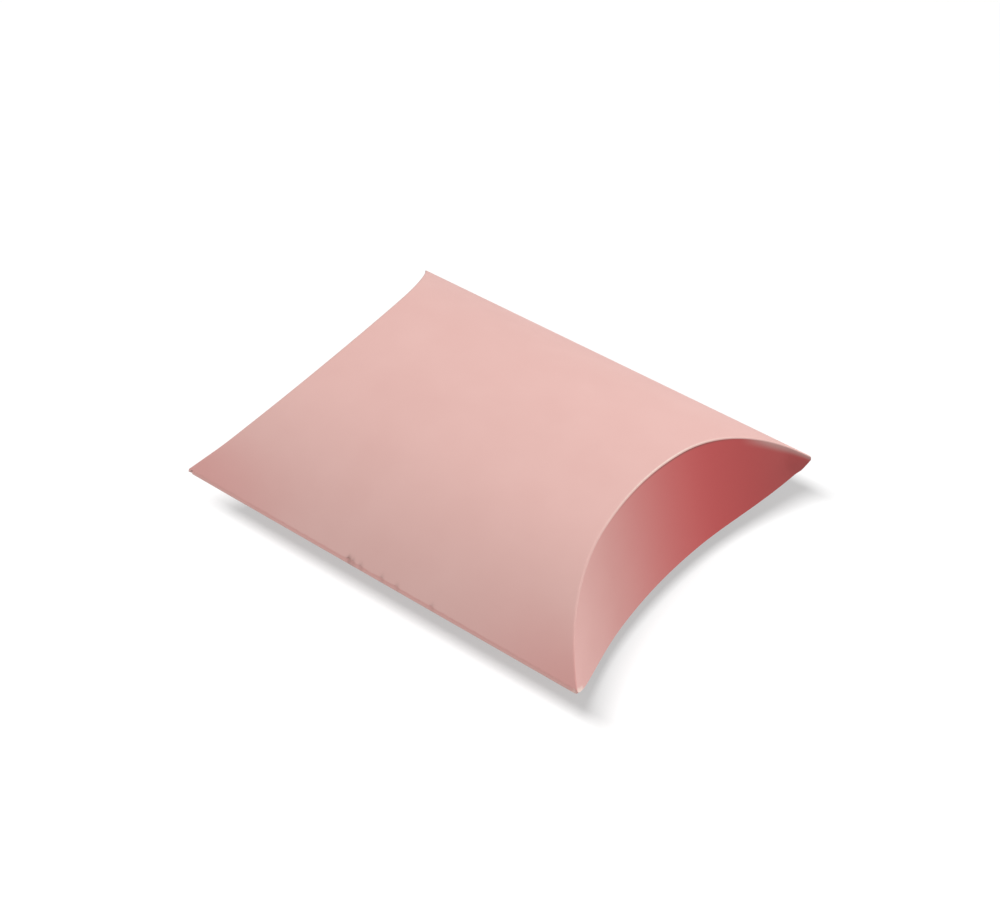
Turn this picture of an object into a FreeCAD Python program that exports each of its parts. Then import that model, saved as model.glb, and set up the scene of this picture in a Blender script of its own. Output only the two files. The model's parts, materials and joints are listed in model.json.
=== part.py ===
import FreeCAD, Part

import math
import os

import Sketcher

# Pillow box of folded card. A lens-shaped sleeve of two bowed panels lies along X, with a straight
# fold along each side. Curved creases in two slanting planes close each end, and from them hang two
# concave flaps, the outer one from the top panel and the inner one from the bottom panel.
# Each piece is drawn about the middle of the plane through the four corner tips, with its own panel
# upwards, and is then turned and lifted into place, so that the belly lies on Z = 0.

# Driving dimensions: millimetres, and degrees for the leans.
DRIVING_SIZES = [
    ("box_length", 85.0, "corner tip to corner tip along the folds"),
    ("box_width", 65.4, "between the sharp corners of the two folds"),
    ("box_height", 26.3, "belly to crown"),
    ("crease_depth", 11.8, "set-back of an end crease at its crown, from above"),
    ("card_thickness", 0.42, "folding card of about 330 grams per square metre"),
    ("crown_width", 21.6, "flatter middle of the top panel"),
    ("crown_radius", 68.2, "bow of that middle"),
    ("rest_width", 8.0, "strip of the belly that bears on a table"),
    ("top_edge_inset", 0.34, "top panel's long edge, in from the sharp corner"),
    ("top_edge_height", 0.4, "and above the corner plane"),
    ("bottom_edge_inset", 0.76, "bottom panel's long edge, in from the sharp corner"),
    ("bottom_edge_height", 0.9, "and below the corner plane"),
    ("fold_radius", 0.5, "outside of a scored fold"),
    ("fold_end_relief", 0.5, "side fold's ends, in from the corner tips"),
    ("seam_end_relief", 2.4, "seam fold's ends, in from the corner tips"),
    ("tab_width", 10.0, "glue tab, across the seam"),
    ("tab_base_height", 0.5, "where the tab leaves its fold, above the corner plane"),
    ("tab_end_relief", 2.5, "glue tab's slanted end, in from the crease"),
    ("glue_thickness", 0.08, "bond line between tab and top panel"),
    ("bond_gap", 0.01, "free on each side of the film"),
    ("glue_margin", 1.2, "film's edges, in from the tab's"),
    ("hinge_gap", 0.35, "flap's mitred edge, down from the panel's along the crease plane"),
    ("outer_lean", 9.5, "outer flap's spring out of the upright, degrees"),
    ("outer_reach", 8.8, "outer flap's free edge, below the corner plane"),
    ("outer_end_inset", 1.15, "outer flap's ends, in from the sharp corner"),
    ("outer_end_height", 0.3, "outer flap's ends, above the corner plane"),
    ("outer_edge_width", 44.0, "flatter middle of the outer free edge"),
    ("outer_edge_radius", 143.0, "bow of that middle"),
    ("inner_lean", -6.2, "inner flap's tuck inwards, degrees"),
    ("inner_reach", 3.4, "inner flap's free edge, past the corner plane"),
    ("inner_end_inset", 4.0, "inner flap's ends, in from the sharp corner"),
    ("inner_end_height", 1.6, "inner flap's ends, short of the corner plane"),
    ("inner_edge_width", 40.0, "flatter middle of the inner free edge"),
    ("inner_edge_radius", 143.0, "bow of that middle"),
]

# Sizes that follow from the driving ones.
DERIVED_SIZES = [
    ("half_length", "=box_length / 2", "middle to corner tip"),
    ("half_width", "=box_width / 2", "middle to sharp corner"),
    ("rise", "=box_height / 2", "corner plane to crown"),
    ("crease_slope", "=crease_depth / rise", "set-back of the crease plane for each rise"),
    ("top_edge_half", "=half_width - top_edge_inset", "middle to the top panel's long edge"),
    ("bottom_edge_half", "=half_width - bottom_edge_inset", "middle to the bottom panel's long edge"),
    ("crown_half", "=crown_width / 2", "middle to the end of the crown"),
    ("crown_angle", "=asin(crown_half / crown_radius) / 1 deg", "slope at the end of the crown"),
    ("crown_sag", "=crown_radius * (1 - cos(crown_angle))", "drop over the crown"),
    ("rest_half", "=rest_width / 2", "middle to the end of the belly strip"),
    ("flat_crown", "=0", "radius given to a crown that is a flat strip"),
    ("shoulder_span", "=top_edge_half - crown_half", "crown's end to the long edge, across"),
    ("shoulder_drop", "=rise - crown_sag - top_edge_height", "crown's end to the long edge, down"),
    ("shoulder_slope", "=atan2(shoulder_drop; shoulder_span) / 1 deg", "slope of that chord"),
    ("shoulder_chord", "=sqrt(shoulder_span ^ 2 + shoulder_drop ^ 2)", "length of that chord"),
    ("shoulder_radius", "=shoulder_chord / 2 / sin(shoulder_slope - crown_angle)", "top panel's side"),
    ("shoulder_y", "=crown_half - shoulder_radius * sin(crown_angle)", "centre of that arc"),
    ("shoulder_z", "=rise - crown_sag - shoulder_radius * cos(crown_angle)", "centre of that arc"),
    ("fold_length", "=box_length - 2 * fold_end_relief", "side fold, end to end"),
    ("seam_length", "=box_length - 2 * seam_end_relief", "seam fold, end to end"),
    ("top_leg", "=sqrt(top_edge_inset ^ 2 + top_edge_height ^ 2)", "fold's upper leg"),
    (
        "leg_cross",
        "=bottom_edge_inset * top_edge_height + bottom_edge_height * top_edge_inset",
        "cross product of the fold's two legs",
    ),
    ("lap", "=card_thickness + glue_thickness", "top panel's face to the tab's face"),
    ("seam_y", "=half_width - lap * top_leg * bottom_edge_inset / leg_cross", "seam fold's sharp corner"),
    ("seam_z", "=-lap * top_leg * bottom_edge_height / leg_cross", "seam fold's sharp corner"),
    ("tab_radius", "=shoulder_radius - lap", "glue tab's outer face"),
    ("tab_base_angle", "=asin((tab_base_height - shoulder_z) / tab_radius) / 1 deg", "where it starts"),
    ("tab_base_y", "=shoulder_y + tab_radius * cos(tab_base_angle)", "where it starts"),
    ("fold_back", "=tab_base_y - 3 * card_thickness", "back of a fold's block before it is shelled"),
    ("tab_sweep", "=tab_width / tab_radius * 180 / pi", "angle over its width"),
    ("tab_top", "=shoulder_z + tab_radius * sin(tab_base_angle + tab_sweep)", "its free edge"),
    ("tab_top_y", "=shoulder_y + tab_radius * cos(tab_base_angle + tab_sweep)", "its free edge"),
    ("tab_back", "=tab_top_y - 3 * card_thickness", "back of its block before it is shelled"),
    ("film_radius", "=shoulder_radius - card_thickness - bond_gap", "glue film's outer face"),
    ("film_thickness", "=glue_thickness - 2 * bond_gap", "glue film"),
    ("film_base", "=tab_base_height + glue_margin", "glue film's lower edge"),
    ("film_top", "=tab_top - glue_margin", "glue film's upper edge"),
    ("film_end_relief", "=tab_end_relief + glue_margin", "glue film's end, in from the crease"),
    ("corner_base", "=0", "corner plane"),
    ("outer_tilt", "=-90 - outer_lean", "outer wall's section plane, about Y"),
    ("outer_wall_rise", "=crease_depth * cos(outer_lean) - rise * sin(outer_lean)", "in that section"),
    ("outer_wall_sag", "=crown_sag * outer_wall_rise / rise", "crown's drop in that section"),
    ("outer_wall_radius", "=(crown_half ^ 2 + outer_wall_sag ^ 2) / 2 / outer_wall_sag", "its crown"),
    ("outer_end_half", "=half_width - outer_end_inset", "middle to the outer flap's end"),
    ("outer_edge_base", "=-outer_end_height", "outer free edge, from its ends"),
    ("outer_edge_half", "=outer_edge_width / 2", "middle to the end of its flatter part"),
    ("inner_tilt", "=-90 - inner_lean", "inner wall's section plane, about Y"),
    ("inner_wall_rise", "=crease_depth * cos(inner_lean) - rise * sin(inner_lean)", "in that section"),
    ("inner_end_half", "=half_width - inner_end_inset", "middle to the inner flap's end"),
    ("inner_edge_base", "=-inner_end_height", "inner free edge, from its ends"),
    ("inner_edge_half", "=inner_edge_width / 2", "middle to the end of its flatter part"),
    ("lean_rise", "=crease_depth * sin(abs(outer_lean))", "height that the lean takes from a wall's crown"),
    ("wall_drop", "=max(rise; outer_reach) + lean_rise + card_thickness", "half a wall before trimming"),
    ("wall_length", "=2 * wall_drop / cos(outer_lean)", "and the whole of it, along its lean"),
    ("upright", "=0", "section square to the length"),
    ("overturned", "=180", "section square to the length, drawn downwards"),
]

# Arches by the names of their sizes: half width, base, top, half of the crown and radius of the crown.
TOP_ARCH = ("top_edge_half", "top_edge_height", "rise", "crown_half", "crown_radius")
BOTTOM_ARCH = ("bottom_edge_half", "bottom_edge_height", "rise", "rest_half", "flat_crown")
OUTER_WALL = ("half_width", "corner_base", "outer_wall_rise", "crown_half", "outer_wall_radius")
INNER_WALL = ("half_width", "corner_base", "inner_wall_rise", "rest_half", "flat_crown")
OUTER_EDGE = ("outer_end_half", "outer_edge_base", "outer_reach", "outer_edge_half", "outer_edge_radius")
INNER_EDGE = ("inner_end_half", "inner_edge_base", "inner_reach", "inner_edge_half", "inner_edge_radius")

X_AXIS = FreeCAD.Vector(1, 0, 0)
Y_AXIS = FreeCAD.Vector(0, 1, 0)
Z_AXIS = FreeCAD.Vector(0, 0, 1)
HALF_TURN = 180
# Sine of the angle under which two directions count as parallel.
PARALLEL_SINE = 1e-6
# Point positions and built-in geometry, as sketch constraints number them.
START_INDEX, END_INDEX, CENTRE_INDEX = 1, 2, 3
ORIGIN = (-1, START_INDEX)
VERTICAL_AXIS_INDEX = -2

doc = FreeCAD.newDocument("pillow_box")
sheet = doc.addObject("Spreadsheet::Sheet", "sizes")
for row, (alias, value, meaning) in enumerate(DRIVING_SIZES + DERIVED_SIZES, 1):
    sheet.set(f"A{row}", alias)
    sheet.set(f"B{row}", str(value))
    sheet.set(f"C{row}", meaning)
    sheet.setAlias(f"B{row}", alias)
doc.recompute()


def size(alias):
    """Value of one cell of the sheet."""
    return float(getattr(sheet, alias))


def arch_form(arch):
    """Slopes at the crown's end and at the foot, and radius and centre of the shoulder arc."""
    half_width, base, top, crown_half, crown_radius = [size(alias) for alias in arch]
    crown_angle = math.asin(crown_half / crown_radius) if crown_radius else 0.0
    crown_end = top - crown_radius * (1 - math.cos(crown_angle))
    chord_angle = math.atan2(crown_end - base, half_width - crown_half)
    chord = math.hypot(crown_end - base, half_width - crown_half)
    radius = chord / 2 / math.sin(chord_angle - crown_angle)
    centre = FreeCAD.Vector(
        crown_half - radius * math.sin(crown_angle), crown_end - radius * math.cos(crown_angle), 0
    )
    return crown_angle, 2 * chord_angle - crown_angle, radius, centre


def arch_curves(arch):
    """Crown, right shoulder and left shoulder of an arch, drawn in the XY plane."""
    top, crown_half, crown_radius = [size(alias) for alias in arch[2:]]
    crown_angle, foot_angle, radius, centre = arch_form(arch)
    quarter = math.pi / 2
    if crown_radius:
        crown_circle = Part.Circle(FreeCAD.Vector(0, top - crown_radius, 0), Z_AXIS, crown_radius)
        crown = Part.ArcOfCircle(crown_circle, quarter - crown_angle, quarter + crown_angle)
    else:
        crown = Part.LineSegment(FreeCAD.Vector(crown_half, top, 0), FreeCAD.Vector(-crown_half, top, 0))
    right = Part.ArcOfCircle(
        Part.Circle(centre, Z_AXIS, radius), quarter - foot_angle, quarter - crown_angle
    )
    far_centre = FreeCAD.Vector(-centre.x, centre.y, 0)
    left = Part.ArcOfCircle(
        Part.Circle(far_centre, Z_AXIS, radius), quarter + crown_angle, quarter + foot_angle
    )
    return crown, right, left


def bind(sketch, name, constraint, alias, factor=1):
    """Add a dimension to a sketch and tie it to a cell of the sheet."""
    index = sketch.addConstraint(constraint)
    sketch.renameConstraint(index, name)
    sketch.setExpression(f"Constraints.{name}", f"sizes.{alias} * {factor}")


def place_point(sketch, name, point, across, up):
    """Tie a sketch point's place to two cells, each given as an alias and a sign."""
    for axis, (alias, sign) in (("X", across), ("Y", up)):
        ends = ORIGIN + point if sign * size(alias) >= 0 else point + ORIGIN
        sign_kept = sign if ends[:2] == ORIGIN else -sign
        constraint = Sketcher.Constraint(f"Distance{axis}", *ends, abs(size(alias)))
        bind(sketch, f"{name}_{axis}", constraint, alias, sign_kept)


def section_sketch(body, name, tilt, along):
    """Sketch across the box: its X is the box's Y, and its Y is the box's Z turned by a tilt about Y."""
    sketch = body.newObject("Sketcher::SketchObject", name)
    plane = next(item for item in body.Origin.OriginFeatures if item.Role == "YZ_Plane")
    sketch.AttachmentSupport = [(plane, "")]
    sketch.MapMode = "FlatFace"
    # The turn only sets the axis here, and the sheet then gives its angle.
    axis_turn = FreeCAD.Rotation(X_AXIS, HALF_TURN)
    sketch.AttachmentOffset = FreeCAD.Placement(FreeCAD.Vector(), axis_turn)
    sketch.setExpression("AttachmentOffset.Rotation.Angle", f"sizes.{tilt}")
    sketch.setExpression("AttachmentOffset.Base.z", f"sizes.{along}")
    return sketch


def draw_arch(sketch, arch, skirt=None):
    """Closed outline under an arch, straight across its feet or with straight sides below them."""
    half_width, base, top, crown_half, crown_radius = arch
    crown, right, left = [sketch.addGeometry(curve) for curve in arch_curves(arch)]
    sketch.addConstraint(Sketcher.Constraint("Tangent", right, END_INDEX, crown, START_INDEX))
    sketch.addConstraint(Sketcher.Constraint("Tangent", crown, END_INDEX, left, START_INDEX))
    place_point(sketch, "right_foot", (right, START_INDEX), (half_width, 1), (base, 1))
    place_point(sketch, "left_foot", (left, END_INDEX), (half_width, -1), (base, 1))
    crown_ends = (crown, START_INDEX, crown, END_INDEX)
    sketch.addConstraint(Sketcher.Constraint("Symmetric", *crown_ends, VERTICAL_AXIS_INDEX))
    half_crown = Sketcher.Constraint("DistanceX", *ORIGIN, crown, START_INDEX, size(crown_half))
    bind(sketch, "crown_half", half_crown, crown_half)
    if size(crown_radius):
        bind(sketch, "crown_radius", Sketcher.Constraint("Radius", crown, size(crown_radius)), crown_radius)
        sketch.addConstraint(Sketcher.Constraint("PointOnObject", crown, CENTRE_INDEX, VERTICAL_AXIS_INDEX))
        drop = size(crown_radius) - size(top)
        index = sketch.addConstraint(Sketcher.Constraint("DistanceY", crown, CENTRE_INDEX, *ORIGIN, drop))
        sketch.renameConstraint(index, "crown_centre")
        sketch.setExpression("Constraints.crown_centre", f"sizes.{crown_radius} - sizes.{top}")
    else:
        crown_top = Sketcher.Constraint("DistanceY", *ORIGIN, crown, START_INDEX, size(top))
        bind(sketch, "crown_top", crown_top, top)
    corners = [FreeCAD.Vector(side * size(half_width), size(base), 0) for side in (-1, 1)]
    if skirt:
        corners[1:1] = [FreeCAD.Vector(corner.x, -size(skirt), 0) for corner in corners]
    closing = [
        sketch.addGeometry(Part.LineSegment(first, second)) for first, second in zip(corners, corners[1:])
    ]
    chain = [left] + closing + [right]
    for first, second in zip(chain, chain[1:]):
        sketch.addConstraint(Sketcher.Constraint("Coincident", first, END_INDEX, second, START_INDEX))
    if skirt:
        place_point(sketch, "left_skirt", (closing[0], END_INDEX), (half_width, -1), (skirt, -1))
        place_point(sketch, "right_skirt", (closing[1], END_INDEX), (half_width, 1), (skirt, -1))


def draw_corners(sketch, corners):
    """Closed outline of straight lines through named corners, each two pairs of alias and sign."""
    points = [FreeCAD.Vector(*[sign * size(alias) for alias, sign in corner], 0) for corner in corners]
    sides = zip(points, points[1:] + points[:1])
    lines = [sketch.addGeometry(Part.LineSegment(*side)) for side in sides]
    for line, following in zip(lines, lines[1:] + lines[:1]):
        sketch.addConstraint(Sketcher.Constraint("Coincident", line, END_INDEX, following, START_INDEX))
    for index, (line, corner) in enumerate(zip(lines, corners)):
        place_point(sketch, f"corner_{index}", (line, START_INDEX), *corner)


def pad_along(body, sketch, length):
    """Pad a section to both sides of its plane."""
    pad = body.newObject("PartDesign::Pad", "pad")
    pad.Profile = sketch
    pad.SideType = "Symmetric"
    pad.setExpression("Length", f"sizes.{length}")
    doc.recompute()
    return pad


def parallel(first, second):
    """Whether two directions of unit length lie along one line."""
    return first.cross(second).Length < PARALLEL_SINE


def shell_of(body, solid, sketch, thickness, inwards=True, flat_crown=False):
    """Card on the slanted and curved faces of a block: the faces square to its sketch are left open."""
    axes = [sketch.Placement.Rotation.multVec(axis) for axis in (X_AXIS, Y_AXIS, Z_AXIS)]
    upwards = axes[1]
    opened = []
    for index, face in enumerate(solid.Shape.Faces, 1):
        if face.Surface.TypeId != "Part::GeomPlane":
            continue
        normal = face.normalAt(0, 0)
        square = any(parallel(normal, axis) for axis in axes)
        is_crown = flat_crown and parallel(normal, upwards) and normal.dot(upwards) > 0
        if square and not is_crown:
            opened.append(f"Face{index}")
    shell = body.newObject("PartDesign::Thickness", "card")
    shell.Base = (solid, opened)
    shell.Reversed = inwards
    shell.Join = "Intersection"
    shell.setExpression("Value", f"sizes.{thickness}")
    doc.recompute()
    return shell


def arch_shell(name, arch, tilt, along, length, inwards):
    """Bowed sheet of card over an arch, or under it where the card lies outside the arch."""
    body = doc.addObject("PartDesign::Body", name)
    sketch = section_sketch(body, "section", tilt, along)
    draw_arch(sketch, arch)
    pad = pad_along(body, sketch, length)
    shell_of(body, pad, sketch, "card_thickness", inwards, flat_crown=True)
    return body


def mouth_solid(arch, end_inset=0.0, drop=0.0):
    """What lies under the end crease of a panel, carried both ways square to the crease plane."""
    slope = size("crease_slope")
    crown, right, left = arch_curves(arch)
    half_width = size("half_width")
    skirt = -size("rise")
    foot = right.StartPoint
    corners = [
        FreeCAD.Vector(-foot.x, foot.y, 0),
        FreeCAD.Vector(-half_width, 0, 0),
        FreeCAD.Vector(-half_width, skirt, 0),
        FreeCAD.Vector(half_width, skirt, 0),
        FreeCAD.Vector(half_width, 0, 0),
        foot,
    ]
    edges = [curve.toShape() for curve in (right, crown, left)] + Part.makePolygon(corners).Edges
    outline = Part.Face(Part.Wire(Part.__sortEdges__(edges)))
    to_crease_plane = FreeCAD.Matrix(
        0, -slope, 0, size("half_length") - end_inset,
        1, 0, 0, 0,
        0, 1, 0, 0,
    )
    outline = outline.transformGeometry(to_crease_plane)
    across = FreeCAD.Vector(1, 0, slope).normalize()
    down = FreeCAD.Vector(slope, 0, -1).normalize()
    outline.translate(down * drop - across * size("box_height"))
    return outline.extrude(across * 2 * size("box_height"))


def mouths(name, arch, end_inset=0.0):
    """Cutting tool for both ends of a sheet that runs along the box."""
    tool = doc.addObject("Part::Feature", name)
    front = mouth_solid(arch, end_inset)
    rear = front.mirror(FreeCAD.Vector(), X_AXIS)
    tool.Shape = Part.makeCompound([front, rear])
    return tool


def trimmed(label, sheet_body, tool):
    """Sheet with its ends cut to the creases."""
    cut = doc.addObject("Part::Cut", label)
    cut.Base = sheet_body
    cut.Tool = tool
    cut.Label = label
    return cut


def fold_body(label, corners, length):
    """Scored fold: a bent strip of card round the corner that is given first."""
    body = doc.addObject("PartDesign::Body", label)
    body.Label = label
    sketch = section_sketch(body, "section", "upright", "corner_base")
    draw_corners(sketch, corners)
    pad = pad_along(body, sketch, length)
    apex = FreeCAD.Vector(0, *[sign * size(alias) for alias, sign in corners[0]])
    ridge = min(
        range(len(pad.Shape.Edges)),
        key=lambda index: (pad.Shape.Edges[index].CenterOfMass - apex).Length,
    )
    bend = body.newObject("PartDesign::Fillet", "bend")
    bend.Base = (pad, [f"Edge{ridge + 1}"])
    bend.setExpression("Radius", "sizes.fold_radius")
    doc.recompute()
    shell_of(body, bend, sketch, "card_thickness")
    return body


def seam_sheet(name, radius, base, top, thickness):
    """Bowed sheet under the top panel's side, between two heights."""
    body = doc.addObject("PartDesign::Body", name)
    sketch = section_sketch(body, "section", "upright", "corner_base")
    centre = FreeCAD.Vector(size("shoulder_y"), size("shoulder_z"), 0)
    angles = [math.asin((size(height) - centre.y) / size(radius)) for height in (base, top)]
    face = Part.ArcOfCircle(Part.Circle(centre, Z_AXIS, size(radius)), *angles)
    arc = sketch.addGeometry(face)
    inner = [FreeCAD.Vector(size("tab_back"), point.y, 0) for point in (face.EndPoint, face.StartPoint)]
    points = [face.EndPoint] + inner + [face.StartPoint]
    lines = [sketch.addGeometry(Part.LineSegment(*pair)) for pair in zip(points, points[1:])]
    chain = [arc] + lines
    for first, second in zip(chain, chain[1:] + chain[:1]):
        sketch.addConstraint(Sketcher.Constraint("Coincident", first, END_INDEX, second, START_INDEX))
    place_point(sketch, "centre", (arc, CENTRE_INDEX), ("shoulder_y", 1), ("shoulder_z", 1))
    bind(sketch, "radius", Sketcher.Constraint("Radius", arc, size(radius)), radius)
    place_point(sketch, "top_corner", (lines[0], END_INDEX), ("tab_back", 1), (top, 1))
    place_point(sketch, "base_corner", (lines[1], END_INDEX), ("tab_back", 1), (base, 1))
    sketch.addConstraint(Sketcher.Constraint("Horizontal", lines[0]))
    sketch.addConstraint(Sketcher.Constraint("Horizontal", lines[2]))
    pad = pad_along(body, sketch, "box_length")
    shell_of(body, pad, sketch, thickness)
    return body


def flap(label, wall_arch, tilt, crease_arch, edge_arch):
    """Concave flap: a leaning wall, mitred under its crease and cut to its free edge."""
    wall = arch_shell(f"{label}_wall", wall_arch, tilt, "half_length", "wall_length", inwards=False)
    mouth = doc.addObject("Part::Feature", f"{label}_mitre")
    mouth.Shape = mouth_solid(crease_arch, drop=size("hinge_gap"))
    outline = doc.addObject("PartDesign::Body", f"{label}_outline")
    sketch = section_sketch(outline, "free_edge", "overturned", "half_length")
    draw_arch(sketch, edge_arch, skirt="box_height")
    pad_along(outline, sketch, "box_length")
    piece = doc.addObject("Part::MultiCommon", label)
    piece.Shapes = [wall, mouth, outline]
    piece.Label = label
    return piece


def put(piece, turn=FreeCAD.Rotation()):
    """Turn a piece about the middle of the corner plane and lift it so that the belly is at Z = 0."""
    piece.Placement = FreeCAD.Placement(FreeCAD.Vector(0, 0, size("rise")), turn)
    return piece


OVER = FreeCAD.Rotation(X_AXIS, HALF_TURN)
ROUND = FreeCAD.Rotation(Z_AXIS, HALF_TURN)

top_sheet = arch_shell("top_sheet", TOP_ARCH, "upright", "corner_base", "box_length", inwards=True)
bottom_sheet = arch_shell("bottom_sheet", BOTTOM_ARCH, "upright", "corner_base", "box_length", inwards=True)
side_corners = [
    (("half_width", 1), ("corner_base", 1)),
    (("top_edge_half", 1), ("top_edge_height", 1)),
    (("fold_back", 1), ("top_edge_height", 1)),
    (("fold_back", 1), ("bottom_edge_height", -1)),
    (("bottom_edge_half", 1), ("bottom_edge_height", -1)),
]
seam_corners = [
    (("seam_y", 1), ("seam_z", 1)),
    (("tab_base_y", 1), ("tab_base_height", 1)),
    (("fold_back", 1), ("tab_base_height", 1)),
    (("fold_back", 1), ("bottom_edge_height", -1)),
    (("bottom_edge_half", 1), ("bottom_edge_height", -1)),
]
tab_sheet = seam_sheet("tab_sheet", "tab_radius", "tab_base_height", "tab_top", "card_thickness")
film_sheet = seam_sheet("film_sheet", "film_radius", "film_base", "film_top", "film_thickness")

pieces = [
    put(trimmed("top_panel", top_sheet, mouths("top_mouths", TOP_ARCH))),
    put(trimmed("bottom_panel", bottom_sheet, mouths("bottom_mouths", BOTTOM_ARCH)), OVER),
    put(fold_body("side_fold", side_corners, "fold_length")),
    put(fold_body("seam_fold", seam_corners, "seam_length"), ROUND),
    put(trimmed("glue_tab", tab_sheet, mouths("tab_ends", TOP_ARCH, size("tab_end_relief"))), ROUND),
    put(trimmed("glue_film", film_sheet, mouths("film_ends", TOP_ARCH, size("film_end_relief"))), ROUND),
    put(flap("front_outer_flap", OUTER_WALL, "outer_tilt", TOP_ARCH, OUTER_EDGE)),
    put(flap("front_inner_flap", INNER_WALL, "inner_tilt", BOTTOM_ARCH, INNER_EDGE), OVER),
    put(flap("rear_outer_flap", OUTER_WALL, "outer_tilt", TOP_ARCH, OUTER_EDGE), ROUND),
    put(flap("rear_inner_flap", INNER_WALL, "inner_tilt", BOTTOM_ARCH, INNER_EDGE), OVER * ROUND),
]
doc.recompute()

for item in doc.Objects:
    if "Invalid" in item.State or "Error" in item.State:
        raise RuntimeError(f"{item.Label} did not build: {item.State}")
for piece in pieces:
    if piece.Shape.isNull() or not piece.Shape.isValid() or len(piece.Shape.Solids) != 1:
        raise RuntimeError(f"{piece.Label} is not one valid solid")

os.makedirs("parts", exist_ok=True)
for piece in pieces:
    piece.Shape.exportStep(f"parts/{piece.Label}.step")
    box = piece.Shape.optimalBoundingBox(False)
    print(f"{piece.Label}: {piece.Shape.Volume:.2f} mm3, X {box.XMin:.2f} to {box.XMax:.2f}, "
          f"Y {box.YMin:.2f} to {box.YMax:.2f}, Z {box.ZMin:.2f} to {box.ZMax:.2f}")
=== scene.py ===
"""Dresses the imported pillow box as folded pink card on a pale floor."""

import json
import math
from collections import namedtuple

import bmesh
import bpy
from bpy.props import FloatProperty, FloatVectorProperty, PointerProperty
from mathutils import Matrix, Vector, noise


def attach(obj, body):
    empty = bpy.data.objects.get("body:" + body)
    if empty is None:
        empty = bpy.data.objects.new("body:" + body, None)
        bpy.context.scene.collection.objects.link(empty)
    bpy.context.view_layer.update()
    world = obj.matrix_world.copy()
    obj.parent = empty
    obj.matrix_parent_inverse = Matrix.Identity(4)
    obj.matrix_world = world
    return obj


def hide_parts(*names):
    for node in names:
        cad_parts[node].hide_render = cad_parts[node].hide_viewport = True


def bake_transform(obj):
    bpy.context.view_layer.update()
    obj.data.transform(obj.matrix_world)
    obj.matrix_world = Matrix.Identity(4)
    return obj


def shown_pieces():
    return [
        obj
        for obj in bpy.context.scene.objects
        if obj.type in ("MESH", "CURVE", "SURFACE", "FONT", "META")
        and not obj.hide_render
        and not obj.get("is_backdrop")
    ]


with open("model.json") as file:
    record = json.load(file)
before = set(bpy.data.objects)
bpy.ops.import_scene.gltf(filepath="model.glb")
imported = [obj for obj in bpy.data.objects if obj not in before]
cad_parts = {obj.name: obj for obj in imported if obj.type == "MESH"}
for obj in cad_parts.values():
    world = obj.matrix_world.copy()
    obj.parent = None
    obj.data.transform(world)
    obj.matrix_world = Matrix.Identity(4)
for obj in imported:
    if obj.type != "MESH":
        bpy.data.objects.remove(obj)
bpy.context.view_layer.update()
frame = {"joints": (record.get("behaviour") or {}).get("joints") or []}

bl_info = {
    "name": "Pillow box",
    "version": (1, 0, 0),
    "blender": (4, 5, 0),
    "location": "3D View > Sidebar > Pillow box",
    "description": "Builds a folded card pillow box with hinged end flaps",
    "category": "Add Mesh",
}

JOINTS = {joint["name"]: joint for joint in frame["joints"]}
CREASE_CROWN = Vector(JOINTS["front_outer_crease"]["pos_m"])
MM = 0.001
BOX_LENGTH = 85 * MM

# Mesh spacing
PANEL_ROWS = 96
PANEL_COLUMNS = 240
FLAP_ROWS = 130
FLAP_COLUMNS = 26
CREASE_STEPS = 9
SCORE_STEPS = 4
FOLD_STEPS = 9
FLOOR_SQUARES = 8
RIM_SHARES = (0.18, 0.5, 0.82)
RIM_BULGE_SHARE = 0.16
SHARP_ANGLE = math.radians(38)

# Where the painted shade on an outer flap deepens, across the box, and how much it lifts towards the far
# corner
FLAP_SHADE_LEAST = 0.14
FLAP_SHADE_START = -24 * MM
FLAP_SHADE_END = 18 * MM
FLAP_SHADE_DROP = 0.08
FLAP_SHADE_DROP_START = 22 * MM

# Painted shade: the panels are a little darker towards the corners of the seam side, and the side folds are
# darker all along
CORNER_SHADE = 0.25
CORNER_SHADE_LENGTH = 30 * MM
CORNER_SHADE_WIDTH = 11 * MM
FOLD_SHADE = 0.1

# Creases are paler near their crowns, partly cracked card and partly painted highlight; a dark line of
# painted shade just under them shows most on the flap's shaded side
CREASE_WEAR_AND_HIGHLIGHT = 1.9
CREASE_WEAR_AND_HIGHLIGHT_PLACE = 6 * MM
CREASE_WEAR_AND_HIGHLIGHT_REACH = 23 * MM
CREASE_WEAR_AND_HIGHLIGHT_POWER = 8
CREASE_SHADE_LINE = 0.75
CREASE_SHADE_LINE_DEPTH = 0.45 * MM
CREASE_SHADE_LINE_PLACE = 13 * MM
CREASE_SHADE_LINE_REACH = 26 * MM
CREASE_SHADE_LINE_END = 27 * MM

# Towards the far corner the flap's painted shade lifts just below the crease and fades back in, a painted
# lighter band that is narrower at the tip
CREASE_LIT_BAND = 0.85
CREASE_LIT_BAND_DEPTH = 2 * MM
CREASE_LIT_BAND_START = 22 * MM
CREASE_LIT_BAND_END = 28 * MM
CREASE_LIT_BAND_TAPER = 0.5

# Fibre is bare at the front flap's near corner and at the seam fold's front end
CORNER_WEAR = 1.5
CORNER_WEAR_START = 27.6 * MM
CORNER_WEAR_END = 29.3 * MM
CORNER_WEAR_DEPTH = 1.3 * MM
CORNER_BARE_DEPTH = CORNER_WEAR_DEPTH / 3
FOLD_END_WEAR = 0.8 * MM

# Free edges of the outer flaps: how squarely they turn up to a corner, and the least card left there
EDGE_POWER = 5.45
DEEP_EDGE_POWER = 4.8
DEEP_TIP_START = 31.2 * MM
DEEP_TIP_RISE = 0.95
LEAST_FLAP = 0.12 * MM

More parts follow.
